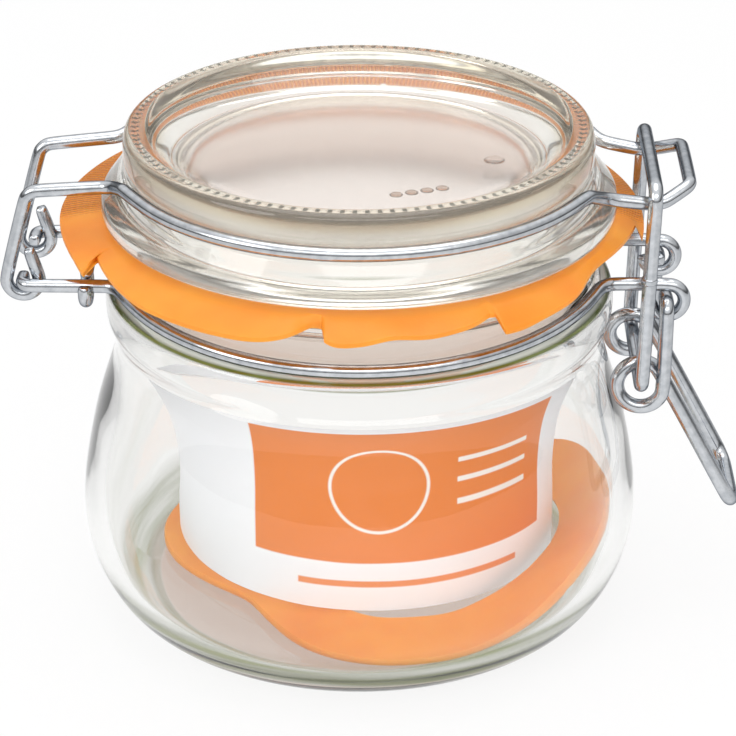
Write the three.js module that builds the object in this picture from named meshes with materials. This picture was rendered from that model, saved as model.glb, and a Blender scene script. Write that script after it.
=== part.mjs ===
// A small clamp jar: a glass body with a swelling belly, a pressed glass lid on a rubber ring,
// and spring wire furniture that hinges the lid on one side and latches it on the other.
// Millimetres, +Z up. The origin is the centre of the resting face; the hinge is at -X, the
// latch at +X, and the printed side of the card in the jar faces -Y.
import * as THREE from 'three';

// Jar body, outside: heights are above the resting face
const footRadius = 41;
const heelRadius = 47.5;
const heelHeight = 4.9;
const bellyRadius = 52.3;
const bellyHeight = 17.5;
const shoulderRadius = 49.6;
const shoulderHeight = 38;
const waistRadius = 45;
const waistHeight = 54.2;
const beadRadius = 46.8;
const beadHeight = 10.9;
const beadRoll = 5.6;
const collarRadius = 43.2;
const collarHeight = 7.4;
const lipRadius = 46;
const lipHeight = 3.5;
const glassEdge = 0.8;

// Jar body, inside
const wall = 3.6;
const heelWall = 2.6;
const mouthRadius = 39.8;
const floorThickness = 3.4;
const floorSetIn = 6.5;
const pushUp = 1.1;
const pushUpRadius = 31;
const floorRise = 3.2;

// Lid, with heights above its seating face
const flangeRadius = 46.9;
const flangeHeight = 4.2;
const lidShoulderHeight = 8;
const rimRadius = 42.6;
const shoulderSetOut = 0.7;
const rimWidth = 5.8;
const rimHeight = 15.8;
const dishRadius = 32.5;
const dishHeight = 11.2;
const discRadius = 30;
const discHeight = 10;
const hollowRadius = 38;
const hollowHeight = 5.4;
const hollowRound = 2;
const grooveDepth = 0.5;
const grooveRise = 1.7;
const rimRound = 1.3;
const rimBevel = 2.4;

// Rubber ring under the lid
const sealThickness = 2;
const sealEdgeThickness = 0.8;
const sealRadius = 53.4;
const sealWidth = 12.4;
const sealClampWidth = 5.9;
const sealShift = 1.6;
const sealFrontTuck = 1.6;
const sealDroop = 0.2;

// Tabs of the ring's skirt, in turns from the front: land is the width left at the notch before a tab,
// edge lists [share of the tab, drop, draw inward], and lean is how far each end lies over along the ring
const tabs = [
  {
    from: -65,
    to: -9.8,
    land: 3.3,
    edge: [[0, 0, 3.8], [0.13, 0.3, 2.5], [0.24, 0.6, 1.3], [0.38, 1.2, 0.3], [0.62, 1.7, 0],
      [0.78, 1.9, 0], [0.87, 1.6, 0], [0.94, 0.9, 0.8], [0.97, 0.6, 1.9], [1, 0.3, 3.8]],
  },
  {
    from: -5.6,
    to: 28,
    land: 0.7,
    edge: [[0, 0.9, 0.6], [0.06, 1.7, 0], [0.21, 1.4, 0], [0.39, 0.1, 0], [0.58, 0.8, 0],
      [0.75, 0.2, 0], [0.88, 0.1, 1], [0.94, 0, 2.1], [1, 0, 3]],
  },
  {
    from: 29.7,
    to: 85.5,
    land: 1.8,
    edge: [[0, 2.3, 0], [0.06, 2.4, 0], [0.1, 2.2, 0], [0.14, 1.7, 0], [0.23, 1.1, 0], [0.33, 0.4, 0],
      [0.4, 0.1, 1.4], [0.49, 0, 3.1], [0.56, 0, 3.8], [0.62, 0, 3.7], [0.74, 0, 3], [1, 0, 1.4]],
  },
  { from: 87, to: 126, land: 3.4, lean: [-7, 0], edge: [[0, 0.8, 0], [0.3, 0.1, 0], [1, 0, 0]] },
  { from: 128, to: 174, land: 3.4, edge: [[0, 0, 0], [1, 0, 0]] },
  { from: 176, to: 230, land: 3.4, edge: [[0, 0, 0], [1, 0, 0]] },
  {
    from: 232,
    to: 293,
    land: 3.4,
    lean: [0, 5],
    edge: [[0, 0, 0], [0.8, 0, 0.5], [0.9, 0.1, 0.5], [1, 1, 0]],
  },
];

// Wires; the furniture stands clear of the ring's edge and of the bead
const beadClear = 6.6;
const lidWire = 2.45;
const armLift = 1.2;
const bandWire = 2.45;
const bandRise = 0.875;
const leverWire = 2.7;
const linkWire = 2.6;
const wideBend = 5;
const easyBend = 4;
const hingeLegBend = 3;
const pinBend = 1.7;
const leverPinBend = 2;
const noseBend = 2.6;
const linkTopBend = 2.6;
const linkLowBend = 2.4;

// Hinge: two pins on the band inside two hooks of the lid wire
const hingeClear = 7.3;
const hingeHalfWidth = 12.2;
const pinLength = 4.8;
const hookRadius = 3;
const hookTail = 5.6;
const hookTailLean = 17;
const hingeArmHalfWidth = 11.1;
const hingeArmSetBack = 1.8;
const hingeLead = 0.9;
const hingeSpread = 5.9;
const tieSetBack = 11.7;

// Latch: lid wire nose, band eyes, lever and link
const noseHalfWidth = 12.9;
const noseDrop = 1;
const noseClear = 5.6;
const noseTaper = 3.2;
const noseRise = 2.3;
const noseEnd = 5;
const noseLead = 0.9;
const noseSpread = 5.6;
const eyeClear = 2.475;
const eyeHalfWidth = 9.9;
const eyeRadius = 3.1;
const eyeTurn = 265;
const eyePinLength = 1.6;
const leverArm = 16.5;
const coilRadius = 4.2;
const coilGap = 0.45;
const handleLength = 31.7;
const handleLean = 28;
const handleBend = 3.6;
const linkSetBack = 6.5;
const linkPlay = 0.9;
const linkSag = 0.05;

// Leaflet and spare ring kept in the jar
const cardSetIn = 3;
const cardThickness = 0.4;
const cardHeight = 43;
const cardSweep = 146;
const cardTurn = -7;
const cardSetBack = 12;
const cardShift = 2;
const cardLift = 3.8;
const spareWidth = 12.4;
const spareThickness = 1.8;
const spareSetIn = 6.8;
const spareHingeSetIn = 7;
const spareLatchSetIn = 5.2;
const spareLatchRise = 8;
const spareFloorTilt = -6;
const spareHingeTilt = 5;
const spareLatchTilt = 45;
const spareDent = 0.31;
const spareDentTurn = 218;
const spareDentSpread = 55;

// Fits
const gap = 0.3;

const rad = THREE.MathUtils.degToRad;
const jar = new THREE.Group();

// A wire route through given points, stepped exactly at those points.
class Route extends THREE.Curve {
  constructor(points, closed = false) {
    super();
    this.points = points;
    this.closed = closed;
    this.spans = closed ? points.length : points.length - 1;
  }

  corner(index) {
    const count = this.points.length;
    if (this.closed) return this.points[(index + count) % count];
    return this.points[Math.min(Math.max(index, 0), count - 1)];
  }

  getPoint(t, target = new THREE.Vector3()) {
    const place = t * this.spans;
    const index = Math.min(Math.floor(place + 1e-6), this.spans - 1);
    return target.lerpVectors(this.corner(index), this.corner(index + 1), place - index);
  }

  getPointAt(t, target) {
    return this.getPoint(t, target);
  }

  getTangent(t, target = new THREE.Vector3()) {
    const index = Math.round(t * this.spans);
    const here = this.corner(index);
    const before = here.clone().sub(this.corner(index - 1)).normalize();
    const after = this.corner(index + 1).clone().sub(here).normalize();
    return target.copy(before.add(after)).normalize();
  }

  getTangentAt(t, target) {
    return this.getTangent(t, target);
  }
}

// A corner of a wire with the radius it is bent to; 0 leaves the point as it is.
function corner(x, y, z, bend = 0) {
  return { point: new THREE.Vector3(x, y, z), bend };
}

// Replaces each bent corner by points along its arc.
function rounded(corners, closed = false) {
  const points = [];
  const count = corners.length;
  corners.forEach((item, index) => {
    const inside = closed || (index > 0 && index < count - 1);
    if (!inside || item.bend === 0) {
      points.push(item.point.clone());
      return;
    }
    const toBefore = corners[(index - 1 + count) % count].point.clone().sub(item.point);
    const toAfter = corners[(index + 1) % count].point.clone().sub(item.point);
    const room = 0.49 * Math.min(toBefore.length(), toAfter.length());
    toBefore.normalize();
    toAfter.normalize();
    const turn = Math.PI - toBefore.angleTo(toAfter);
    const cut = Math.min(item.bend * Math.tan(turn / 2), room);
    const bend = cut / Math.tan(turn / 2);
    const inward = toBefore.clone().add(toAfter).normalize();
    const centre = item.point.clone().addScaledVector(inward, bend / Math.cos(turn / 2));
    const from = item.point.clone().addScaledVector(toBefore, cut).sub(centre);
    const axis = toBefore.clone().negate().cross(toAfter).normalize();
    const steps = Math.max(2, Math.ceil(turn / rad(18)));
    for (let step = 0; step <= steps; step += 1) {
      points.push(from.clone().applyAxisAngle(axis, (turn * step) / steps).add(centre));
    }
  });
  return points;
}

// A round wire along a route: capped at its ends, or joined to itself.
function wire(points, diameter, closed = false) {
  const route = new Route(points, closed);
  if (closed) return new THREE.TubeGeometry(route, points.length, diameter / 2, 8, true);
  const section = new THREE.Shape();
  for (let side = 0; side < 8; side += 1) {
    const angle = (side * Math.PI) / 4;
    const x = (Math.cos(angle) * diameter) / 2;
    const y = (Math.sin(angle) * diameter) / 2;
    if (side === 0) section.moveTo(x, y);
    else section.lineTo(x, y);
  }
  section.closePath();
  return new THREE.ExtrudeGeometry(section, {
    steps: points.length - 1,
    extrudePath: route,
    bevelEnabled: false,
  });
}

// The least clear gap between a wire's turns, measured on close points more than half a turn apart.
function leastGap(points, diameter) {
  const close = points.slice(1).flatMap((point, index) =>
    [0, 0.25, 0.5, 0.75].map((part) => points[index].clone().lerp(point, part)));
  const along = [0];
  close.slice(1).forEach((point, index) => along.push(along[index] + point.distanceTo(close[index])));
  let least = Infinity;
  close.forEach((point, index) => {
    for (let other = index + 1; other < close.length; other += 1) {
      if (along[other] - along[index] < 4 * diameter) continue;
      least = Math.min(least, point.distanceTo(close[other]) - diameter);
    }
  });
  return least;
}

// A solid of revolution about Z from a profile of [radius, height] pairs.
function turned(profile, segments) {
  const points = profile.map(([radius, height]) => new THREE.Vector2(radius, height));
  return new THREE.LatheGeometry(points, segments).rotateX(Math.PI / 2);
}

// A closed band from cross sections that follow each other round a loop.
function loopBand(sections) {
  const sides = sections[0].length;
  const places = sections.flat().flatMap((point) => point.toArray());
  const faces = [];
  sections.forEach((section, index) => {
    const next = (index + 1) % sections.length;
    for (let side = 0; side < sides; side += 1) {
      const other = (side + 1) % sides;
      const a = index * sides + side;
      const b = index * sides + other;
      const c = next * sides + other;
      const d = next * sides + side;
      faces.push(a, d, b, b, d, c);
    }
  });
  const geometry = new THREE.BufferGeometry();
  geometry.setAttribute('position', new THREE.Float32BufferAttribute(places, 3));
  geometry.setIndex(faces);
  geometry.computeVertexNormals();
  return geometry;
}

function addPiece(name, geometry, color, roughness, metalness, opacity = 1) {
  const transparent = opacity < 1;
  const material = new THREE.MeshStandardMaterial({ color, roughness, metalness, opacity, transparent });
  const mesh = new THREE.Mesh(geometry, material);
  mesh.name = name;
  jar.add(mesh);
  return mesh;
}

// Jar body: one lathe profile up the outside, over the lip and down the inside.
const ledge = waistHeight + beadHeight;
const jarHeight = ledge + collarHeight + lipHeight;
const bodyCurve = new THREE.CatmullRomCurve3(
  [
    new THREE.Vector3(footRadius, 0, 0),
    new THREE.Vector3(heelRadius, heelHeight, 0),
    new THREE.Vector3(bellyRadius, bellyHeight, 0),
    new THREE.Vector3(shoulderRadius, shoulderHeight, 0),
    new THREE.Vector3(waistRadius, waistHeight, 0),
    new THREE.Vector3(beadRadius, waistHeight + beadRoll, 0),
  ],
  false,
  'centripetal',
);
const bodyOutside = bodyCurve.getPoints(17).map((point) => [point.x, point.y]);
const floorHeight = pushUp + floorThickness;
const floorRadius = heelRadius - floorSetIn;
const innerCurve = new THREE.CatmullRomCurve3(
  [
    new THREE.Vector3(mouthRadius, ledge, 0),
    new THREE.Vector3(waistRadius - wall, waistHeight, 0),
    new THREE.Vector3(shoulderRadius - wall, shoulderHeight, 0),
    new THREE.Vector3(bellyRadius - wall, bellyHeight, 0),
    new THREE.Vector3(heelRadius - heelWall, floorHeight + floorRise, 0),
    new THREE.Vector3(floorRadius, floorHeight, 0),
  ],
  false,
  'centripetal',
);
const bodyInside = innerCurve.getPoints(11).map((point) => [point.x, point.y]);
const bodyProfile = [
  [0, pushUp],
  [pushUpRadius, pushUp],
  [pushUpRadius + pushUp, 0],
  ...bodyOutside,
  [beadRadius, ledge - 2 * glassEdge],
  [beadRadius - glassEdge, ledge],
  [collarRadius, ledge],
  [collarRadius, jarHeight - lipHeight],
  [lipRadius, jarHeight - lipHeight + 2 * glassEdge],
  [lipRadius, jarHeight - glassEdge],
  [lipRadius - glassEdge, jarHeight],
  [mouthRadius + glassEdge, jarHeight],
  [mouthRadius, jarHeight - glassEdge],
  ...bodyInside,
  [0, floorHeight],
];
addPiece('jar_body', turned(bodyProfile, 60), 0xe4ebe4, 0.05, 0, 0.35);

// Lid: flange on the rubber ring, a sloping shoulder for the wire, and a raised rim round a dish.
const lidBase = jarHeight + sealThickness + 2 * gap;
const flangeTop = lidBase + flangeHeight;
const lidShoulder = lidBase + lidShoulderHeight;
const rimTop = lidBase + rimHeight;
const shoulderEdge = rimRadius + shoulderSetOut;
const grooveRadius = rimRadius - grooveDepth;
const rimInner = rimRadius - rimWidth;
const lidProfile = [
  [0, lidBase + hollowHeight],
  [hollowRadius - hollowRound, lidBase + hollowHeight],
  [hollowRadius, lidBase + hollowHeight - hollowRound],
  [hollowRadius, lidBase + glassEdge],
  [hollowRadius + glassEdge, lidBase],
  [flangeRadius - glassEdge, lidBase],
  [flangeRadius, lidBase + glassEdge],
  [flangeRadius, flangeTop - glassEdge],
  [flangeRadius - glassEdge, flangeTop],
  [shoulderEdge, lidShoulder],
  [grooveRadius, lidShoulder + grooveRise],
  [rimRadius, lidShoulder + grooveRise + grooveDepth],
  [rimRadius, rimTop - 1.6 * rimRound],
  [rimRadius - 0.3 * rimRound, rimTop - 0.5 * rimRound],
  [rimRadius - rimRound, rimTop],
  [rimInner + rimBevel, rimTop],
  [rimInner + 0.5 * rimBevel, rimTop - 0.25 * rimBevel],
  [rimInner, rimTop - rimBevel],
  [dishRadius, lidBase + dishHeight],
  [discRadius, lidBase + discHeight],
  [0, lidBase + discHeight],
];
addPiece('lid', turned(lidProfile, 60), 0xe4ebe4, 0.05, 0, 0.35);

// Rubber ring: flat between lip and lid, then a soft skirt cut into tabs by notches. The fitting has pulled
// the tabs out of even spacing, so that some droop and some are drawn in under the lid.
const sealSections = [];
const sealBase = jarHeight + gap;
const sealInnerRadius = sealRadius - sealWidth;
const clampRadius = sealInnerRadius + sealClampWidth;
const tabShares = [0, 0.04, 0.09, 0.15, 0.22, 0.3, 0.38, 0.46, 0.54, 0.62, 0.7, 0.78, 0.85, 0.91, 0.96, 1];
// One cross section of the ring, which thins from the clamp to its edge; beyond the notch's depth it can
// lean along the ring by some degrees.
function sealSection(turn, edge, drop, notchRadius, lean) {
  const skirt = edge - clampRadius;
  const profile = [
    [sealInnerRadius, 0],
    [clampRadius, 0],
    [clampRadius + 0.35 * skirt, 0.2 * drop],
    [clampRadius + 0.72 * skirt, 0.6 * drop],
    [edge, drop],
  ];
  const place = (radius, height) => {
    const out = Math.max(0, radius - notchRadius) / Math.max(gap, edge - notchRadius);
    const angle = rad(turn + lean * out - 90);
    return new THREE.Vector3(radius * Math.cos(angle), radius * Math.sin(angle), height);
  };
  const under = profile.map(([radius, fall]) => place(radius, sealBase - fall));
  const over = profile.map(([radius, fall]) => {
    const out = THREE.MathUtils.clamp((radius - clampRadius) / skirt, 0, 1);
    const thickness = THREE.MathUtils.lerp(sealThickness, sealEdgeThickness, out);
    return place(radius, sealBase + thickness - fall);
  });
  sealSections.push([...under, ...over.reverse()]);
}
// A tab's drop and draw at a share of its length, between the stations given for its edge.
function tabEdge(stations, share) {
  const next = Math.max(1, stations.findIndex(([at]) => at >= share));
  const [before, drop, draw] = stations[next - 1];
  const [after, nextDrop, nextDraw] = stations[next];
  const part = (share - before) / (after - before);
  return [THREE.MathUtils.lerp(drop, nextDrop, part), THREE.MathUtils.lerp(draw, nextDraw, part)];
}
tabs.forEach(({ from, to, land, edge, lean = [0, 0] }, index) => {
  const before = index > 0 ? tabs[index - 1].to : tabs[tabs.length - 1].to - 360;
  const notchRadius = clampRadius + land;
  sealSection(before + (from - before) / 4, notchRadius, sealDroop, notchRadius, 0);
  sealSection(from - (from - before) / 4, notchRadius, sealDroop, notchRadius, 0);
  const landAfter = tabs[(index + 1) % tabs.length].land;
  tabShares.forEach((share) => {
    const turn = THREE.MathUtils.lerp(from, to, share);
    const aside = Math.sin(rad(turn));
    const facing = Math.max(0, Math.cos(rad(turn)));
    const [drop, draw] = tabEdge(edge, share);
    const shift = sealShift * aside * (0.4 + 0.6 * Math.abs(aside));
    const radius = Math.max(clampRadius + gap, sealRadius - shift - sealFrontTuck * facing - draw);
    const leanStart = lean[0] * (1 - THREE.MathUtils.smoothstep(share, 0, 0.3));
    const leanEnd = lean[1] * THREE.MathUtils.smoothstep(share, 0.7, 1);
    const depth = clampRadius + (share < 0.5 ? land : landAfter);
    sealSection(turn, radius, sealDroop + drop, depth, leanStart + leanEnd);
  });
});
addPiece('seal', loopBand(sealSections), 0xf59a3c, 0.55, 0);

// Lid wire: hook, leg and arm at the hinge, half round the lid, the nose, and back the same way.
const ringFace = Math.max(sealRadius, beadRadius + beadClear);
const hingeReach = ringFace + hingeClear;
const hingeArmReach = hingeReach - hingeArmSetBack;
const noseReach = ringFace + noseClear;
const bandHeight = ledge + gap + bandWire / 2;
const bandRadius = collarRadius + gap + bandWire / 2;
const barHeight = bandHeight + bandRise;
const ringRadius = rimRadius + gap + lidWire / 2;
const ringHeight = lidShoulder + gap + lidWire / 2;
const reach = lidWire / 2 + gap;
const steep = (lidShoulder - flangeTop) / (flangeRadius - glassEdge - shoulderEdge);
const overShoulder = reach * Math.hypot(1, steep);
const clearHeight = (radius) => lidShoulder - steep * (radius - shoulderEdge) + overShoulder;
const armHeight = flangeTop + reach + armLift;
const noseHeight = armHeight - noseDrop;
const hookPlane = hingeHalfWidth - bandWire / 2 - gap - lidWire / 2;
const hookSide = [];
const legTop = corner(-hingeArmReach, -hingeArmHalfWidth, armHeight, hingeLegBend);
const hookFirst = 168;
const hookLast = 360 + hookTailLean;
const hookPoint = (angle) => corner(
  -hingeReach + hookRadius * Math.cos(rad(angle)),
  -hookPlane,
  barHeight + hookRadius * Math.sin(rad(angle)),
);
const tailAngle = rad(hookLast);
hookSide.push(corner(
  -hingeReach + hookRadius * Math.cos(tailAngle) - hookTail * Math.sin(tailAngle),
  -hookPlane,
  barHeight + hookRadius * Math.sin(tailAngle) + hookTail * Math.cos(tailAngle),
));
for (let step = 0; step <= 11; step += 1) {
  hookSide.push(hookPoint(hookLast - ((hookLast - hookFirst) * step) / 11));
}
// A point of the lid wire at a set half width from the XZ plane, at a radius and height.
const ringCorner = (side, halfWidth, radius, height, bend) => corner(
  side * Math.sqrt(radius * radius - halfWidth * halfWidth),
  -halfWidth,
  height,
  bend,
);
const frontHalf = [...hookSide, legTop];
const hingeLow = flangeRadius - 2 * glassEdge;
const hingeLowHeight = clearHeight(hingeLow) + gap;
frontHalf.push(ringCorner(-1, hingeArmHalfWidth + hingeLead, hingeLow, hingeLowHeight, easyBend));
const ringLead = ringRadius + gap;
frontHalf.push(ringCorner(-1, hingeArmHalfWidth + hingeSpread, ringLead, ringHeight, easyBend));
for (let step = 0; step <= 16; step += 1) {
  const angle = rad(-56 + (112 * step) / 16);
  frontHalf.push(corner(ringRadius * Math.sin(angle), -ringRadius * Math.cos(angle), ringHeight));
}
const noseLow = flangeRadius - glassEdge;
frontHalf.push(ringCorner(1, noseHalfWidth + noseSpread, ringLead, ringHeight, wideBend));
frontHalf.push(ringCorner(1, noseHalfWidth + noseLead, noseLow, clearHeight(noseLow) + gap, wideBend));
frontHalf.push(corner(noseReach - 1.6 * noseEnd, -noseHalfWidth, noseHeight, wideBend));
frontHalf.push(corner(noseReach - noseEnd, -noseHalfWidth, noseHeight, wideBend));
frontHalf.push(corner(noseReach, -noseHalfWidth + noseTaper, noseHeight + noseRise, noseBend));
const mirrored = (corners) => corners.map(({ point, bend }) => corner(point.x, -point.y, point.z, bend));
const lidWireRoute = rounded([...frontHalf, ...mirrored(frontHalf).reverse()]);
addPiece('lid_wire', wire(lidWireRoute, lidWire), 0xb9bcc0, 0.3, 0.95);

// Neck band: two mirrored half wires, each with a hinge pin at one end and an eye at the other.
const eyeReach = ringFace + eyeClear;
const eyeHeight = barHeight - eyeRadius;
const bandTurn = (side, halfWidth, turn) => {
  const x = bandRadius * Math.sin(turn);
  const y = bandRadius * Math.cos(turn);
  const run = (y - halfWidth) / Math.sin(turn);
  return corner(side * (x + run * Math.cos(turn)), -halfWidth, barHeight, easyBend);
};
const hingeTurn = rad(65);
const latchTurn = rad(68);
const frontBand = [
  corner(-hingeReach, -hingeHalfWidth + pinLength, barHeight),
  corner(-hingeReach, -hingeHalfWidth, barHeight, pinBend),
  bandTurn(-1, hingeHalfWidth, hingeTurn),
];
for (let step = 0; step <= 18; step += 1) {
  const angle = -hingeTurn + ((hingeTurn + latchTurn) * step) / 18;
  const height = bandHeight + bandRise * Math.sin(angle) ** 2;
  frontBand.push(corner(bandRadius * Math.sin(angle), -bandRadius * Math.cos(angle), height));
}
frontBand.push(bandTurn(1, eyeHalfWidth, latchTurn));
for (let step = 0; step <= 12; step += 1) {
  const angle = rad(90 - (eyeTurn * step) / 12);
  frontBand.push(corner(
    eyeReach + eyeRadius * Math.cos(angle),
    -eyeHalfWidth,
    eyeHeight + eyeRadius * Math.sin(angle),
  ));
}
addPiece('band_wire_front', wire(rounded(frontBand), bandWire), 0xb9bcc0, 0.3, 0.95);
addPiece('band_wire_back', wire(rounded(mirrored(frontBand)), bandWire), 0xb9bcc0, 0.3, 0.95);

// Cross tie: a short wire curled round both band bars beside the hinge.
const tieReach = hingeReach - tieSetBack;
const curl = bandWire + gap;
const frontCurl = [];
for (let step = 0; step <= 11; step += 1) {
  const angle = rad(-20 - (290 - 20) + (250 * step) / 11);
  frontCurl.push(corner(
    -tieReach,
    -hingeHalfWidth - curl * Math.sin(angle),
    barHeight + curl * Math.cos(angle),
  ));
}
const tieRoute = rounded([...frontCurl, ...mirrored(frontCurl).reverse()]);
addPiece('cross_tie', wire(tieRoute, bandWire), 0xb9bcc0, 0.3, 0.95);

// Lever: pins in the band eyes, legs, a coil on each side and the bowed handle, all one wire.
const legPlane = eyeHalfWidth + bandWire / 2 + gap + leverWire / 2;
const coilPitch = leverWire + coilGap;
const handlePlane = legPlane - coilPitch;
const pivotReach = eyeReach - (eyeRadius - bandWire / 2 - leverWire / 2 - gap);
const coilReach = pivotReach - coilRadius;
const coilHeight = eyeHeight - leverArm;
const coilTurn = 360 - handleLean;
const frontLever = [
  corner(pivotReach, -eyeHalfWidth + bandWire / 2 + eyePinLength, eyeHeight),
  corner(pivotReach, -legPlane, eyeHeight, leverPinBend),
];
for (let step = 0; step <= 16; step += 1) {
  const angle = rad((-coilTurn * step) / 16);
  frontLever.push(corner(
    coilReach + coilRadius * Math.cos(angle),
    -legPlane + (coilPitch * step) / 16,
    coilHeight + coilRadius * Math.sin(angle),
  ));
}
const handleTop = frontLever[frontLever.length - 1].point;
frontLever.push(corner(
  handleTop.x + handleLength * Math.sin(rad(handleLean)),
  -handlePlane,
  handleTop.z - handleLength * Math.cos(rad(handleLean)),
  handleBend,
));
const leverRoute = rounded([...frontLever, ...mirrored(frontLever).reverse()]);
console.log(`Least gap in the lever's coils: ${leastGap(leverRoute, leverWire).toFixed(2)} mm`);
addPiece('lever', wire(leverRoute, leverWire), 0xb9bcc0, 0.28, 0.95);

// Link: a closed loop whose low bar sits in the lever's coils and whose top bar holds the nose.
const linkPlane = legPlane + leverWire / 2 + gap + linkWire / 2;
const linkLowHeight = coilHeight + coilRadius - leverWire / 2 - gap - linkWire / 2 - linkSag;
const linkSeatReach = noseReach - linkSetBack;
const linkTopHeight = noseHeight + lidWire / 2 + linkPlay + linkWire / 2;
const linkCorners = [
  corner(coilReach, -linkPlane, linkLowHeight, linkLowBend),
  corner(linkSeatReach, -linkPlane, linkTopHeight, linkTopBend),
  corner(linkSeatReach, linkPlane, linkTopHeight, linkTopBend),
  corner(coilReach, linkPlane, linkLowHeight, linkLowBend),
];
addPiece('link', wire(rounded(linkCorners, true), linkWire, true), 0xb9bcc0, 0.28, 0.95);

// Leaflet: a rolled card standing on the floor of the jar.
const cardRadius = floorRadius - cardSetIn;
const cardFrom = rad(-90 + cardTurn - cardSweep / 2);
const cardTo = rad(-90 + cardTurn + cardSweep / 2);
const cardShape = new THREE.Shape();
cardShape.absarc(0, 0, cardRadius + cardThickness / 2, cardFrom, cardTo, false);
cardShape.absarc(0, 0, cardRadius - cardThickness / 2, cardTo, cardFrom, true);
cardShape.closePath();
const cardGeometry = new THREE.ExtrudeGeometry(cardShape, {
  depth: cardHeight,
  steps: 1,
  curveSegments: 28,
  bevelEnabled: false,
});
const card = addPiece('label_card', cardGeometry, 0xf7f5f1, 0.6, 0);
card.position.set(cardShift, cardSetBack, floorHeight + cardLift);

// Spare rubber ring: lies on the floor at front and back, leans on the wall on both sides, and is
// pushed in under the card on one side.
const spareSections = [];
const spareSteps = 60;
const spareShortRadius = floorRadius - spareSetIn;
const spareHingeReach = floorRadius - spareHingeSetIn;
const spareLatchReach = bellyRadius - wall - spareLatchSetIn;
const spareLongRadius = (spareLatchReach + spareHingeReach) / 2;
const spareShift = (spareLatchReach - spareHingeReach) / 2;
const spareDented = (angle) => {
  const off = Math.abs(THREE.MathUtils.radToDeg(angle) - spareDentTurn) / spareDentSpread;
  return Math.cos((Math.min(1, off) * Math.PI) / 2) ** 2;
};
const spareLean = (angle) => Math.cos(angle) ** 2 * (1 - spareDented(angle)) ** 3;
const spareTilt = (angle) => {
  const wallTilt = Math.cos(angle) > 0 ? spareLatchTilt : spareHingeTilt;
  return rad(THREE.MathUtils.lerp(spareFloorTilt, wallTilt, spareLean(angle)));
};
function sparePlace(angle) {
  const rise = Math.cos(angle) > 0 ? spareLatchRise * Math.cos(angle) ** 2 : 0;
  const inward = 1 - spareDent * spareDented(angle);
  const halfRise = (spareWidth / 2) * Math.abs(Math.sin(spareTilt(angle)));
  return new THREE.Vector3(
    spareShift + spareLongRadius * inward * Math.cos(angle),
    spareShortRadius * inward * Math.sin(angle),
    floorHeight + 2 * gap + halfRise + spareThickness / 2 + rise,
  );
}
for (let step = 0; step < spareSteps; step += 1) {
  const angle = (step * 2 * Math.PI) / spareSteps;
  const centre = sparePlace(angle);
  const heading = sparePlace(angle + 0.01).sub(sparePlace(angle - 0.01));
  const tilt = spareTilt(angle);
  const out = new THREE.Vector3(heading.y, -heading.x, 0).normalize();
  const across = out.clone().multiplyScalar(Math.cos(tilt));
  across.z = Math.sin(tilt);
  const up = out.clone().multiplyScalar(-Math.sin(tilt));
  up.z = Math.cos(tilt);
  const at = (side, lift) => centre.clone()
    .addScaledVector(across, (side * spareWidth) / 2)
    .addScaledVector(up, (lift * spareThickness) / 2);
  spareSections.push([at(-1, -1), at(1, -1), at(1, 1), at(-1, 1)]);
}
addPiece('spare_seal', loopBand(spareSections), 0xf08a35, 0.55, 0);

export default jar;
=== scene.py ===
import math

import bpy
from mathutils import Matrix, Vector


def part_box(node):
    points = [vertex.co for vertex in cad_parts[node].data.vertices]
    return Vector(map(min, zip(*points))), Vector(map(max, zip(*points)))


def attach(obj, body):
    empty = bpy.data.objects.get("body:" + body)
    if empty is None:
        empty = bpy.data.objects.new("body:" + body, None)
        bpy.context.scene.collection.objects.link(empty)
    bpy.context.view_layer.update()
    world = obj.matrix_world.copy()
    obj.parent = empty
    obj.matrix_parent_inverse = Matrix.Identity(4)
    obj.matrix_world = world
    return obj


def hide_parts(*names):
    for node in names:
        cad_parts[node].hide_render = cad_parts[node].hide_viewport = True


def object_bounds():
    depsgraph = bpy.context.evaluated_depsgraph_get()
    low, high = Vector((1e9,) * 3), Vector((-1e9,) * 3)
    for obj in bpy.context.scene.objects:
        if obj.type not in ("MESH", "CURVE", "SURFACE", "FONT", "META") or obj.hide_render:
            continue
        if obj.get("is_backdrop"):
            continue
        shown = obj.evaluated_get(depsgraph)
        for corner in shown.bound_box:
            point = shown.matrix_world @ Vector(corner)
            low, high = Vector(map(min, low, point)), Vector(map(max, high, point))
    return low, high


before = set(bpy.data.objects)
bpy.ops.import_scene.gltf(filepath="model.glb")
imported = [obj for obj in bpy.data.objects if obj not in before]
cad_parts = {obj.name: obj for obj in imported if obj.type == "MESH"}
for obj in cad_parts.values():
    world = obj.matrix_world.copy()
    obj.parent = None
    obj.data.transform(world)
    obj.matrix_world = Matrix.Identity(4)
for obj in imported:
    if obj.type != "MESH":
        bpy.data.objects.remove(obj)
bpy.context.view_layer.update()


# Jar body
# Machine-blown soda-lime glass with a faint green cast: belly, waist, bead and lip in one wall about 3.6 mm thick.
# It stands by itself on the ring round the push-up of its base, and carries everything else.
def linear(code):
    """An sRGB hex colour as linear RGBA."""
    channels = [int(code[place:place + 2], 16) / 255 for place in (1, 3, 5)]
    curve = [c / 12.92 if c <= 0.04045 else ((c + 0.055) / 1.055) ** 2.4 for c in channels]
    return (*curve, 1)


def add(tree, kind, settings=None, **inputs):
    """One node with its settings; each input takes a value or another node's output."""
    made = tree.nodes.new(kind)
    for name, value in (settings or {}).items():
        setattr(made, name, value)
    for name, value in inputs.items():
        key = int(name[1:]) if name[0] == "_" and name[1:].isdigit() else name.replace("_", " ")
        if isinstance(value, bpy.types.NodeSocket):
            tree.links.new(value, made.inputs[key])
        else:
            made.inputs[key].default_value = value
    return made


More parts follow.
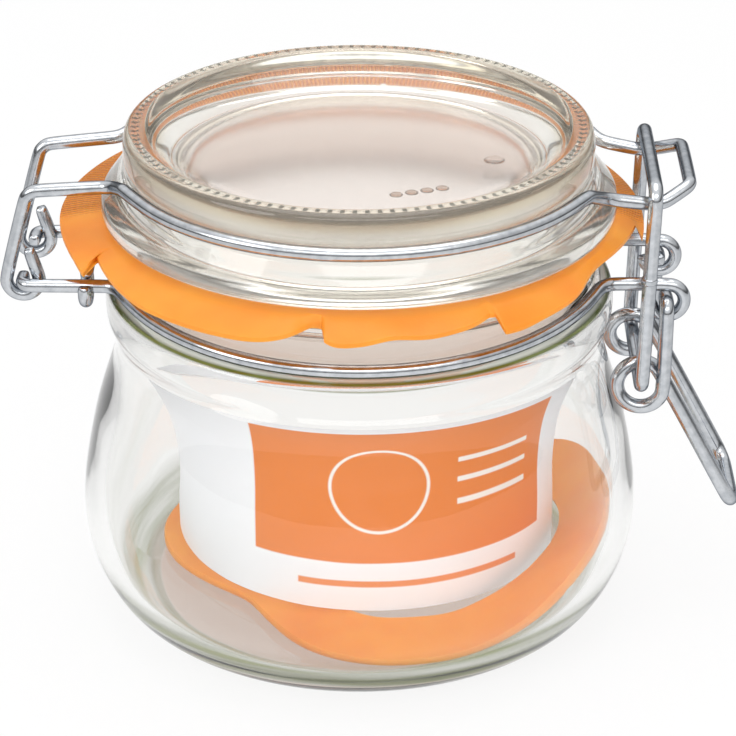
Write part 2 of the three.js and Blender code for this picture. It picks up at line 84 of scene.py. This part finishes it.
def new_material(name):
    """A named material with its shader and output, ready for more nodes."""
    material = bpy.data.materials.new(name)
    material.use_nodes = True
    shader = material.node_tree.nodes["Principled BSDF"]
    return material, material.node_tree, shader


MERGE_DISTANCE = 1e-6
SHARP_EDGE = math.radians(35)     # edges that bend more than this can be creased
SMOOTH_EDGE = math.radians(50)    # edges that bend less than this are shaded smooth


def smooth_copy(node, levels, swell=0.0, crease=0.0, disc_ring=0.0):
    """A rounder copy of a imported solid: merged, swelled by what subdivision takes away, and subdivided.

    A crease from 0 to 1 keeps the solid's sharp edges that much. A disc ring is the width of a ring of faces added
    inside each flat disc on the axis, so that the disc's edge is as round as the rest.
    """
    bpy.ops.object.select_all(action="DESELECT")
    piece = bpy.data.objects.new(node + "_finish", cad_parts[node].data.copy())
    bpy.context.scene.collection.objects.link(piece)
    piece.select_set(True)
    bpy.context.view_layer.objects.active = piece
    bpy.ops.object.mode_set(mode="EDIT")
    bpy.ops.mesh.select_all(action="SELECT")
    bpy.ops.mesh.remove_doubles(threshold=MERGE_DISTANCE)
    bpy.ops.mesh.tris_convert_to_quads()
    if swell:
        bpy.ops.transform.shrink_fatten(value=swell)
    if disc_ring:
        bpy.ops.mesh.select_mode(type="FACE")
        bpy.ops.mesh.select_all(action="DESELECT")
        bpy.ops.object.mode_set(mode="OBJECT")
        on_axis = [math.hypot(vertex.co.x, vertex.co.y) < MERGE_DISTANCE for vertex in piece.data.vertices]
        for face in piece.data.polygons:
            face.select = any(on_axis[corner] for corner in face.vertices)
        bpy.ops.object.mode_set(mode="EDIT")
        bpy.ops.mesh.inset(thickness=disc_ring)
    if crease:
        bpy.ops.mesh.select_mode(type="EDGE")
        bpy.ops.mesh.select_all(action="DESELECT")
        bpy.ops.mesh.edges_select_sharp(sharpness=SHARP_EDGE)
        bpy.ops.transform.edge_crease(value=crease)
    bpy.ops.object.mode_set(mode="OBJECT")
    bpy.ops.mesh.customdata_custom_splitnormals_clear()
    bpy.ops.object.shade_smooth_by_angle(angle=SMOOTH_EDGE)
    if levels:
        bpy.ops.object.shade_smooth()
        rounding = piece.modifiers.new("rounding", "SUBSURF")
        rounding.levels = levels
        rounding.render_levels = levels
        bpy.ops.object.modifier_apply(modifier=rounding.name)
    return piece


def dress(piece, material, node, body):
    """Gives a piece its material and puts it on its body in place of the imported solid."""
    piece.data.materials.clear()
    piece.data.materials.append(material)
    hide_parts(node)
    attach(piece, body)


def multiply(tree, first, second):
    """The product of two values."""
    return add(tree, "ShaderNodeMath", {"operation": "MULTIPLY"}, _0=first, _1=second).outputs[0]


def between(tree, value, low, high, soft):
    """1 where a value lies between two limits, fading to 0 over a soft edge at each."""
    over = add(tree, "ShaderNodeMapRange", Value=value, From_Min=low - soft / 2, From_Max=low + soft / 2)
    under = add(tree, "ShaderNodeMapRange", Value=value, From_Min=high + soft / 2, From_Max=high - soft / 2)
    return multiply(tree, over.outputs["Result"], under.outputs["Result"])


def blend(tree, share, first, second):
    """A colour that goes from the first to the second with a share from 0 to 1."""
    return add(tree, "ShaderNodeMix", {"data_type": "RGBA"}, _0=share, _6=first, _7=second).outputs[2]


DISC_RING = 0.003
jar_body = smooth_copy("jar_body", 2, disc_ring=DISC_RING)

# Soda-lime glass: clear and glossy, with the slow ripple of the mould's cooling.
# Where the eye looks along the glass, on the ledge of the bead and round the heel, it turns olive green and lets
# less light pass. The collar under the rubber carries a painted rosy grey for the rubber's shade and reflection,
# and the thick floor a painted rosy grey for the reflection and shadow of the card and ring standing on it.
RIPPLE_MM = 18
STREAK_MM = 2.4
LEDGE_LOW, LEDGE_HIGH = 0.0644, 0.0655
LEDGE_RADIUS = 0.0437
LEDGE_EDGE = 0.0453
LEDGE_PASSING = 0.35          # share of light that the ledge lets through
COLLAR_HIGH = 0.0740
FLOOR_HIGH = 0.0052
HEEL_HIGH = 0.0085
HEEL_INSIDE = 0.0392          # radius less height, greater outside the heel and smaller inside it
UNDER_BASE = -0.001
FAR_OUT = 0.1                 # a limit beyond every size of the jar
FAR_IN = -0.01                # a limit below every radius, and below radius less height on the floor
body_glass, tree, shader = new_material("soda_lime_glass")
shader.inputs["Roughness"].default_value = 0.0
shader.inputs["IOR"].default_value = 1.52
place = add(tree, "ShaderNodeTexCoord")
axes = add(tree, "ShaderNodeSeparateXYZ", Vector=place.outputs["Object"])
height = axes.outputs["Z"]
flat = add(tree, "ShaderNodeCombineXYZ", X=axes.outputs["X"], Y=axes.outputs["Y"])
radius = add(tree, "ShaderNodeVectorMath", {"operation": "LENGTH"}, _0=flat.outputs[0])
turn = add(tree, "ShaderNodeMath", {"operation": "ARCTAN2"}, _0=axes.outputs["Y"], _1=axes.outputs["X"])
drawn = add(tree, "ShaderNodeCombineXYZ", X=turn.outputs[0], Y=multiply(tree, height, 1000 / STREAK_MM))
streak = add(tree, "ShaderNodeTexNoise", Vector=drawn.outputs[0], Scale=1.0, Detail=2.0)
streak = add(
    tree, "ShaderNodeMapRange", Value=streak.outputs["Fac"], From_Min=0.35, From_Max=0.6, To_Min=0.55)
ledge = between(tree, height, LEDGE_LOW, LEDGE_HIGH, soft=0.0004)
ledge = multiply(tree, ledge, between(tree, radius.outputs["Value"], LEDGE_RADIUS, FAR_OUT, soft=0.0008))
# painted shade and reflection: the collar under the rubber is tinted rosy grey for the rubber's shaded underside
# and orange reflection
painted_collar_shade = between(tree, height, LEDGE_HIGH, COLLAR_HIGH, soft=0.001)
slant = add(tree, "ShaderNodeMath", {"operation": "SUBTRACT"}, _0=radius.outputs["Value"], _1=height)
heel = between(tree, height, UNDER_BASE, HEEL_HIGH, soft=0.003)
heel = multiply(tree, heel, between(tree, slant.outputs[0], HEEL_INSIDE, FAR_OUT, soft=0.0006))
heel = multiply(tree, heel, streak.outputs["Result"])
# painted reflection and shadow: the thick floor is tinted rosy grey for the card and spare ring reflected in it
# and their shadow
painted_floor_reflection = between(tree, height, UNDER_BASE, FLOOR_HIGH, soft=0.0008)
painted_floor_reflection = multiply(tree, painted_floor_reflection, between(tree, slant.outputs[0], FAR_IN, HEEL_INSIDE, soft=0.0006))
glass = blend(tree, painted_collar_shade, linear("#FCFCFB"), linear("#DFD1C7"))
glass = blend(tree, painted_floor_reflection, glass, linear("#CFBBAF"))
glass = blend(tree, heel, glass, linear("#666B40"))
brink = between(tree, radius.outputs["Value"], LEDGE_EDGE, FAR_OUT, soft=0.0006)
olive = blend(tree, brink, linear("#E4E6DA"), linear("#5E6A2A"))
tree.links.new(blend(tree, ledge, glass, olive), shader.inputs["Base Color"])
ripple = add(
    tree, "ShaderNodeTexNoise", Vector=place.outputs["Object"], Scale=1000 / RIPPLE_MM, Detail=1.0)
bump = add(tree, "ShaderNodeBump", Strength=0.05, Distance=0.002, Height=ripple.outputs["Fac"])
tree.links.new(bump.outputs["Normal"], shader.inputs["Normal"])
passing = add(tree, "ShaderNodeMapRange", Value=ledge, To_Min=1.0, To_Max=LEDGE_PASSING)
tree.links.new(passing.outputs["Result"], shader.inputs["Transmission Weight"])
tint = add(tree, "ShaderNodeVolumeAbsorption", Color=linear("#C8CCBF"), Density=4.0)
tree.links.new(tint.outputs["Volume"], tree.nodes["Material Output"].inputs["Volume"])
dress(jar_body, body_glass, "jar_body", "jar")
jar_body.visible_shadow = False


# Neck band and cross tie
# Galvanised spring wire, bent into two half rings under the lip, with hinge pins and latch eyes at their ends.
# A short tie curls round both bars beside the hinge and holds the two halves together.
SECTION_LOSS = 0.108          # share of its radius that an eight-sided wire loses when it is subdivided
BAND_WIRE = 0.00245

# Galvanised steel wire: bright zinc with a faint spangle, drawn smooth, so that it mirrors the room in long lines.
SPANGLE_MM = 1.6
galvanised, tree, shader = new_material("galvanised_spring_wire")
shader.inputs["Metallic"].default_value = 1.0
shader.inputs["Specular Tint"].default_value = linear("#8C9096")
place = add(tree, "ShaderNodeTexCoord")
spangle = add(
    tree, "ShaderNodeTexNoise", Vector=place.outputs["Object"], Scale=1000 / SPANGLE_MM, Detail=2.0)
zinc = add(tree, "ShaderNodeValToRGB", Fac=spangle.outputs["Fac"])
zinc.color_ramp.elements[0].position = 0.3
zinc.color_ramp.elements[0].color = linear("#BEC2C7")
zinc.color_ramp.elements[1].position = 0.7
zinc.color_ramp.elements[1].color = linear("#D5D8DC")
tree.links.new(zinc.outputs["Color"], shader.inputs["Base Color"])
rough = add(tree, "ShaderNodeMapRange", Value=spangle.outputs["Fac"], To_Min=0.13, To_Max=0.22)
tree.links.new(rough.outputs["Result"], shader.inputs["Roughness"])
for node in ("band_wire_front", "band_wire_back", "cross_tie"):
    wire = smooth_copy(node, 2, SECTION_LOSS * BAND_WIRE / 2)
    dress(wire, galvanised, node, "jar")


# Spare rubber ring
# A second moulded ring of orange rubber, bent into a saddle so that it fits in the jar.
# It lies loose on the floor of the jar at front and back, and leans on the wall at both sides.
RUBBER_CREASE = 0.7
spare_seal = smooth_copy("spare_seal", 2, crease=RUBBER_CREASE)

# Natural rubber: matt to satin, a little uneven, with a fine moulded grain; some light passes through it.
GRAIN_MM = 0.6
BLUSH_MM = 14


def rubber(name):
    """Orange rubber, with its nodes, coordinates, colour and grain for a piece that adds to them."""
    material, tree, shader = new_material(name)
    shader.inputs["Roughness"].default_value = 0.45
    shader.inputs["IOR"].default_value = 1.5
    shader.inputs["Subsurface Weight"].default_value = 0.25
    shader.inputs["Subsurface Radius"].default_value = (1.0, 0.45, 0.15)
    shader.inputs["Subsurface Scale"].default_value = 0.002
    place = add(tree, "ShaderNodeTexCoord")
    blush = add(
        tree, "ShaderNodeTexNoise", Vector=place.outputs["Object"], Scale=1000 / BLUSH_MM, Detail=2.0)
    orange = add(tree, "ShaderNodeValToRGB", Fac=blush.outputs["Fac"])
    orange.color_ramp.elements[0].position = 0.3
    orange.color_ramp.elements[0].color = linear("#EA8818")
    orange.color_ramp.elements[1].position = 0.7
    orange.color_ramp.elements[1].color = linear("#F29C2C")
    tree.links.new(orange.outputs["Color"], shader.inputs["Base Color"])
    soft = add(tree, "ShaderNodeBump", Strength=0.5, Distance=0.001, Height=blush.outputs["Fac"])
    grain = add(
        tree, "ShaderNodeTexNoise", Vector=place.outputs["Object"], Scale=1000 / GRAIN_MM, Detail=2.0)
    bump = add(
        tree, "ShaderNodeBump", Strength=0.12, Distance=0.0002, Height=grain.outputs["Fac"],
        Normal=soft.outputs["Normal"])
    tree.links.new(bump.outputs["Normal"], shader.inputs["Normal"])
    return material, tree, shader, place, orange, bump


orange_rubber = rubber("orange_natural_rubber")[0]
dress(spare_seal, orange_rubber, "spare_seal", "jar")


# Card
# A printed card, rolled to stand in the jar behind the glass, with a plain orange field on its front.
# It is held only by its own spring and by the spare ring round its foot.
label_card = smooth_copy("label_card", 0)

# Coated card: white with a soft fibre, printed on the front with one orange field.
# The field carries a plain ring and ruled lines.
CARD_CENTRE = (0.002, 0.012)
CARD_BEND = 0.038
FIELD_LEFT, FIELD_RIGHT = -0.0218, 0.0366
FIELD_LOW, FIELD_HIGH = 0.0184, 0.0488
RING_MIDDLE = (0.002, 0.0337, 0)
RING_INSIDE, RING_OUTSIDE = 0.0086, 0.0092
RULE_LEFT, RULE_RIGHT, RULE_THICK = 0.0165, 0.0320, 0.0011
FOOT_LINE = (-0.013, 0.030, 0.0133, 0.0146)
PRINT_EDGE = 0.0003
CARD_WHITE = "#F8FAFE"
BLANK_INK = "#FBF6F0"
FIBRE_MM = 0.8
printed_card, tree, shader = new_material("printed_card")
shader.inputs["Roughness"].default_value = 0.4
place = add(tree, "ShaderNodeTexCoord")
axes = add(tree, "ShaderNodeSeparateXYZ", Vector=place.outputs["Object"])
height = axes.outputs["Z"]
across = add(
    tree, "ShaderNodeMath", {"operation": "SUBTRACT"}, _0=axes.outputs["X"], _1=CARD_CENTRE[0])
ahead = add(
    tree, "ShaderNodeMath", {"operation": "SUBTRACT"}, _0=CARD_CENTRE[1], _1=axes.outputs["Y"])
turn = add(tree, "ShaderNodeMath", {"operation": "ARCTAN2"}, _0=across.outputs[0], _1=ahead.outputs[0])
along = multiply(tree, turn.outputs[0], CARD_BEND)
reach = add(tree, "ShaderNodeCombineXYZ", X=across.outputs[0], Y=ahead.outputs[0])
reach = add(tree, "ShaderNodeVectorMath", {"operation": "LENGTH"}, _0=reach.outputs[0])
front = between(tree, reach.outputs["Value"], CARD_BEND, FAR_OUT, soft=0.0001)


def patch(left, right, low, high):
    """1 inside a rectangle of the card, laid flat."""
    wide = between(tree, along, left, right, PRINT_EDGE)
    return multiply(tree, wide, between(tree, height, low, high, PRINT_EDGE))


def print_over(colour, mark, ink):
    """Ink laid over a colour where a mark is 1."""
    return blend(tree, mark, colour, linear(ink))


field = patch(FIELD_LEFT, FIELD_RIGHT, FIELD_LOW, FIELD_HIGH)
colour = print_over(linear(CARD_WHITE), field, "#EC8430")
laid_flat = add(tree, "ShaderNodeCombineXYZ", X=along, Y=height)
from_middle = add(
    tree, "ShaderNodeVectorMath", {"operation": "DISTANCE"}, _0=laid_flat.outputs[0], _1=RING_MIDDLE)
ring = between(tree, from_middle.outputs["Value"], RING_INSIDE, RING_OUTSIDE, PRINT_EDGE)
colour = print_over(colour, ring, BLANK_INK)
for rule in (0.0287, 0.0332, 0.0377):
    colour = print_over(colour, patch(RULE_LEFT, RULE_RIGHT, rule, rule + RULE_THICK), BLANK_INK)
colour = print_over(colour, patch(*FOOT_LINE), "#EE9150")
tree.links.new(blend(tree, front, linear(CARD_WHITE), colour), shader.inputs["Base Color"])
fibre = add(
    tree, "ShaderNodeTexNoise", Vector=place.outputs["Object"], Scale=1000 / FIBRE_MM, Detail=4.0)
bump = add(tree, "ShaderNodeBump", Strength=0.1, Distance=0.0001, Height=fibre.outputs["Fac"])
tree.links.new(bump.outputs["Normal"], shader.inputs["Normal"])
dress(label_card, printed_card, "label_card", "jar")


# Rubber ring under the lid
# A moulded ring of orange rubber, clamped between lip and lid, with a soft skirt outside them.
# It stays on the lid when the jar is opened.
seal = smooth_copy("seal", 2, crease=RUBBER_CREASE)

# The same rubber with fine radial ribs on the upper face, which the mould leaves off the front half, and painted
# shade that darkens the grooves between the ribs.
RIB_MM = 0.95
RIB_RADIUS_MM = 50
RIB_START = -0.002
ribbed_rubber, tree, shader, place, orange, grain = rubber("ribbed_orange_rubber")
axes = add(tree, "ShaderNodeSeparateXYZ", Vector=place.outputs["Object"])
turn = add(tree, "ShaderNodeMath", {"operation": "ARCTAN2"}, _0=axes.outputs["Y"], _1=axes.outputs["X"])
phase = multiply(tree, turn.outputs[0], round(math.tau * RIB_RADIUS_MM / RIB_MM))
wave = add(tree, "ShaderNodeMath", {"operation": "SINE"}, _0=phase)
back_half = between(tree, axes.outputs["Y"], RIB_START, FAR_OUT, soft=0.004)
ribs = multiply(tree, wave.outputs[0], back_half)
# painted shade: the grooves between the ribs are darkened to a deeper orange
rib_groove_shade = add(tree, "ShaderNodeMapRange", Value=ribs, From_Min=0.0, From_Max=-1.0, To_Max=0.9)
shaded_grooves = blend(tree, rib_groove_shade.outputs["Result"], orange.outputs["Color"], linear("#CC6A18"))
tree.links.new(shaded_grooves, shader.inputs["Base Color"])
relief = add(
    tree, "ShaderNodeBump", Strength=1.0, Distance=0.0003, Height=ribs, Normal=grain.outputs["Normal"])
tree.links.new(relief.outputs["Normal"], shader.inputs["Normal"])
dress(seal, ribbed_rubber, "seal", "lid")


# Lid
# Pressed soda-lime glass: flange, sloping shoulder, and a raised rim round a shallow dish.
# The rim carries a ring of moulded notches. The lid wire lies in the groove over the shoulder and holds the lid.
SEGMENTS = 240                # faces round the lid; every second one carries a notch
NOTCH_RADIUS = 0.0402
NOTCH_REACH = 0.0003
NOTCH_DEPTH = 0.0003
TOP_REACH = 0.0005
lid = smooth_copy("lid", 2, disc_ring=DISC_RING)
lid_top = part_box("lid")[1].z
bpy.ops.object.mode_set(mode="EDIT")
bpy.ops.mesh.select_mode(type="VERT")
bpy.ops.mesh.select_all(action="DESELECT")
bpy.ops.object.mode_set(mode="OBJECT")
for vertex in lid.data.vertices:
    radius = math.hypot(vertex.co.x, vertex.co.y)
    segment = round(math.atan2(vertex.co.y, vertex.co.x) * SEGMENTS / math.tau)
    near = abs(radius - NOTCH_RADIUS) < NOTCH_REACH
    vertex.select = near and vertex.co.z > lid_top - TOP_REACH and segment % 2 == 0
bpy.ops.object.mode_set(mode="EDIT")
bpy.ops.transform.translate(value=(0, 0, -NOTCH_DEPTH))
bpy.ops.object.mode_set(mode="OBJECT")

# Pressed soda-lime glass with a warm grey cast, hazy in the dish, with a painted rosy reflection of the rubber
# there, dull in the moulded notches, which carry painted dark grey shade, and straw-coloured on the rim, where the
# eye looks along the glass.
NOTCH_BAND = (0.0395, 0.0409)
NOTCH_LOW = 0.002
RIM_DEPTH = 0.003
OVER_TOP = lid_top + 0.001
DISH_RADIUS = 0.0325
DISH_HAZE = 0.12
pressed_glass, tree, shader = new_material("pressed_soda_lime_glass")
shader.inputs["IOR"].default_value = 1.52
shader.inputs["Transmission Weight"].default_value = 0.96
place = add(tree, "ShaderNodeTexCoord")
axes = add(tree, "ShaderNodeSeparateXYZ", Vector=place.outputs["Object"])
flat = add(tree, "ShaderNodeCombineXYZ", X=axes.outputs["X"], Y=axes.outputs["Y"])
radius = add(tree, "ShaderNodeVectorMath", {"operation": "LENGTH"}, _0=flat.outputs[0])
turn = add(tree, "ShaderNodeMath", {"operation": "ARCTAN2"}, _0=axes.outputs["Y"], _1=axes.outputs["X"])
phase = multiply(tree, turn.outputs[0], SEGMENTS / 2)
wave = add(tree, "ShaderNodeMath", {"operation": "COSINE"}, _0=phase)
ring = between(tree, radius.outputs["Value"], *NOTCH_BAND, soft=0.0004)
ring = multiply(tree, ring, between(tree, axes.outputs["Z"], lid_top - NOTCH_LOW, OVER_TOP, soft=0.0004))
notch_frost_and_shade = add(tree, "ShaderNodeMapRange", Value=wave.outputs[0], From_Min=0.1, From_Max=0.6)
notch_frost_and_shade = multiply(tree, ring, notch_frost_and_shade.outputs["Result"])
dish_haze_and_reflection = between(tree, radius.outputs["Value"], FAR_IN, DISH_RADIUS, soft=0.002)
rim = between(tree, axes.outputs["Z"], lid_top - RIM_DEPTH, OVER_TOP, soft=0.001)
# painted reflection: the dish is tinted rosy for the orange rubber seen in it
glass = blend(tree, dish_haze_and_reflection, linear("#FAF8F3"), linear("#F7EEE8"))
glass = blend(tree, rim, glass, linear("#F2E6CE"))
# painted shade: the moulded notches are tinted dark grey
tree.links.new(blend(tree, notch_frost_and_shade, glass, linear("#85857A")), shader.inputs["Base Color"])
haze = add(tree, "ShaderNodeMapRange", Value=dish_haze_and_reflection, To_Min=0.06, To_Max=DISH_HAZE)
dull = add(tree, "ShaderNodeMapRange", Value=notch_frost_and_shade, To_Min=haze.outputs["Result"], To_Max=0.45)
tree.links.new(dull.outputs["Result"], shader.inputs["Roughness"])
tint = add(tree, "ShaderNodeVolumeAbsorption", Color=linear("#D0CFB4"), Density=5.0)
tree.links.new(tint.outputs["Volume"], tree.nodes["Material Output"].inputs["Volume"])
dress(lid, pressed_glass, "lid", "lid")
lid.visible_shadow = False

# The press leaves four small pips in a row and a wider one on the floor of the dish.
DISH_DEPTH = 0.0058
DISH_FLOOR = lid_top - DISH_DEPTH
PIP_HEIGHT = 0.00026
PIP_SINK = 0.0001             # how far a pip reaches into the floor
PIP_RADIUS, WIDE_PIP_RADIUS = 0.0012, 0.0019
ROW_START, ROW_STEP = Vector((0.0068, -0.0192)), Vector((0.0027, 0.0010))
WIDE_PIP = (0.0243, -0.0030)
pips = [(*(ROW_START + ROW_STEP * number), PIP_RADIUS) for number in range(4)]
pips.append((*WIDE_PIP, WIDE_PIP_RADIUS))
for number, (x, y, wide) in enumerate(pips):
    bpy.ops.object.select_all(action="DESELECT")
    bpy.ops.mesh.primitive_uv_sphere_add(
        segments=32, ring_count=24, radius=wide, location=(x, y, DISH_FLOOR))
    pip = bpy.context.active_object
    pip.name = f"lid_pip_{number}"
    pip.scale.z = PIP_HEIGHT / wide
    bpy.ops.object.transform_apply(location=True, rotation=True, scale=True)
    bpy.ops.object.mode_set(mode="EDIT")
    bpy.ops.mesh.select_all(action="SELECT")
    bpy.ops.mesh.bisect(
        plane_co=(x, y, DISH_FLOOR - PIP_SINK), plane_no=(0, 0, 1), use_fill=True, clear_inner=True)
    bpy.ops.object.mode_set(mode="OBJECT")
    bpy.ops.object.shade_smooth_by_angle(angle=SMOOTH_EDGE)
    pip.data.materials.append(pressed_glass)
    pip.visible_shadow = False
    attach(pip, "lid")


# Lid wire
# One galvanised wire with a hook on each band pin, half round the lid on both sides, and the nose for the latch.
LID_WIRE = 0.00245
lid_wire = smooth_copy("lid_wire", 2, SECTION_LOSS * LID_WIRE / 2)
dress(lid_wire, galvanised, "lid_wire", "lid")


# Lever
# One thicker galvanised wire: pins in the band's eyes, a leg and a coil on each side, and the bowed handle.
LEVER_WIRE = 0.0027
lever = smooth_copy("lever", 2, SECTION_LOSS * LEVER_WIRE / 2)
dress(lever, galvanised, "lever", "lever")


# Link
# A closed loop of galvanised wire, butt welded on one leg.
# It swings in the lever's coils and pulls the nose of the lid wire down.
LINK_WIRE = 0.0026
link = smooth_copy("link", 2, SECTION_LOSS * LINK_WIRE / 2)
dress(link, galvanised, "link", "link")

# The butt weld stands a little proud of the wire.
WELD_HEIGHT = 0.0708
WELD_SWELL = 0.00016
WELD_LENGTH = 0.0013
WELD_ROUND = 0.0003
low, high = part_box("link")
bpy.ops.object.select_all(action="DESELECT")
bpy.ops.mesh.primitive_cylinder_add(
    vertices=24,
    radius=LINK_WIRE / 2 + WELD_SWELL,
    depth=WELD_LENGTH,
    location=((low.x + high.x) / 2, low.y + LINK_WIRE / 2, WELD_HEIGHT),
)
weld = bpy.context.active_object
weld.name = "link_weld"
bpy.ops.object.transform_apply(location=True, rotation=True, scale=True)
bevel = weld.modifiers.new("rounding", "BEVEL")
bevel.width = WELD_ROUND
bevel.segments = 3
bpy.ops.object.modifier_apply(modifier=bevel.name)
bpy.ops.object.shade_smooth()
weld.data.materials.append(galvanised)
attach(weld, "link")


# Studio
# A white floor and a white background, with soft boxes above, at the left and in front.
# A dull low reflector fills the right side and shows in no reflection. Grey flags beside the jar are seen in its
# reflections and through it, and a dark room at the height of the horizon only in reflections from outside.
# Light that has been in the glass sees the white background.
bpy.ops.object.select_all(action="DESELECT")
bpy.ops.mesh.primitive_plane_add(size=6, location=(0, 0, 0))
floor = bpy.context.active_object
floor.name = "floor"
FLAG_START, FLAG_FULL = 0.08, 0.14
FLAG_LEVEL = 0.78
PAPER_GLOW = 0.86             # share of the floor that is plain white to the camera and to the glass
paper, tree, shader = new_material("white_paper_floor")
shader.inputs["Base Color"].default_value = linear("#F4F4F4")
shader.inputs["Roughness"].default_value = 0.9
ray = add(tree, "ShaderNodeLightPath")
place = add(tree, "ShaderNodeTexCoord")
axes = add(tree, "ShaderNodeSeparateXYZ", Vector=place.outputs["Object"])
side = add(tree, "ShaderNodeMath", {"operation": "ABSOLUTE"}, _0=axes.outputs["X"])
flag = add(
    tree, "ShaderNodeMapRange", Value=side.outputs[0], From_Min=FLAG_START, From_Max=FLAG_FULL,
    To_Min=1.0, To_Max=FLAG_LEVEL)
strength = add(tree, "ShaderNodeMix", _0=ray.outputs["Is Camera Ray"], _2=flag.outputs["Result"], _3=1.0)
seen = add(
    tree, "ShaderNodeMath", {"operation": "MAXIMUM"}, _0=ray.outputs["Is Camera Ray"],
    _1=ray.outputs["Transmission Depth"])
seen = add(
    tree, "ShaderNodeMath", {"operation": "MAXIMUM", "use_clamp": True}, _0=seen.outputs[0],
    _1=ray.outputs["Is Glossy Ray"])
white = add(tree, "ShaderNodeEmission", Strength=strength.outputs[0])
glow = multiply(tree, seen.outputs[0], PAPER_GLOW)
lit = add(tree, "ShaderNodeMixShader", Fac=glow, _1=shader.outputs[0], _2=white.outputs[0])
tree.links.new(lit.outputs[0], tree.nodes["Material Output"].inputs["Surface"])
floor.data.materials.append(paper)
floor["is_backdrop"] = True

AMBIENT = 0.72
world = bpy.data.worlds.new("studio")
bpy.context.scene.world = world
world.use_nodes = True
tree = world.node_tree
ray = add(tree, "ShaderNodeLightPath")
place = add(tree, "ShaderNodeTexCoord")
axes = add(tree, "ShaderNodeSeparateXYZ", Vector=place.outputs["Generated"])
side = add(tree, "ShaderNodeMath", {"operation": "ABSOLUTE"}, _0=axes.outputs["X"])
through = add(
    tree, "ShaderNodeMapRange", Value=side.outputs[0], From_Min=0.35, From_Max=0.9, To_Min=0.95, To_Max=0.55)
room_side = add(
    tree, "ShaderNodeMapRange", Value=side.outputs[0], From_Min=0.55, From_Max=0.85, To_Min=1.0, To_Max=0.6)
room_low = add(
    tree, "ShaderNodeMapRange", Value=axes.outputs["Z"], From_Min=0.12, From_Max=0.35, To_Min=0.14, To_Max=1.0)
room = multiply(tree, room_side.outputs["Result"], room_low.outputs["Result"])
level = add(tree, "ShaderNodeMix", _0=ray.outputs["Is Camera Ray"], _2=AMBIENT, _3=1.0)
level = add(tree, "ShaderNodeMix", _0=ray.outputs["Is Glossy Ray"], _2=level.outputs[0], _3=room)
level = add(
    tree, "ShaderNodeMix", _0=ray.outputs["Transmission Depth"], _2=level.outputs[0],
    _3=through.outputs["Result"])
tree.links.new(level.outputs[0], tree.nodes["Background"].inputs["Color"])
tree.nodes["Background"].inputs["Strength"].default_value = 1.0

aim = Vector((0, 0, 0.045))
for name, spot, wide, tall, power in (
    ("soft_box_top", (0.0, 0.1, 0.9), 0.8, 0.8, 2.4),
    ("soft_box_left", (-0.8, -0.5, 0.6), 0.6, 0.6, 2.2),
    ("soft_box_front", (0.1, -0.9, 0.9), 1.4, 0.35, 3.0),
    ("reflector_right", (0.16, -0.24, 0.06), 0.1, 0.14, 0.13),
):
    bpy.ops.object.light_add(type="AREA", location=spot)
    lamp = bpy.context.active_object
    lamp.name = name
    lamp.data.shape = "ELLIPSE"
    lamp.data.size = wide
    lamp.data.size_y = tall
    lamp.data.energy = power
    dull = name == "reflector_right"
    lamp.visible_glossy = not dull
    lamp.visible_transmission = not dull
    lamp.rotation_mode = "QUATERNION"
    lamp.rotation_quaternion = (aim - Vector(spot)).to_track_quat("-Z", "Y")

# The camera stands in front of the jar and looks down on it through a long lens.
CAMERA_PLACE = (0.0084694, -0.4852131, 0.2856739)
CAMERA_VIEW = (-0.012659, 0.896016, -0.443841)
LENS_MM = 141.6
bpy.ops.object.camera_add(location=CAMERA_PLACE)
camera = bpy.context.active_object
camera.rotation_mode = "QUATERNION"
camera.rotation_quaternion = Vector(CAMERA_VIEW).to_track_quat("-Z", "Y")
camera.data.sensor_width = 36
camera.data.lens = LENS_MM
bpy.context.scene.camera = camera
bpy.context.scene.view_settings.view_transform = "Standard"

low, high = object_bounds()
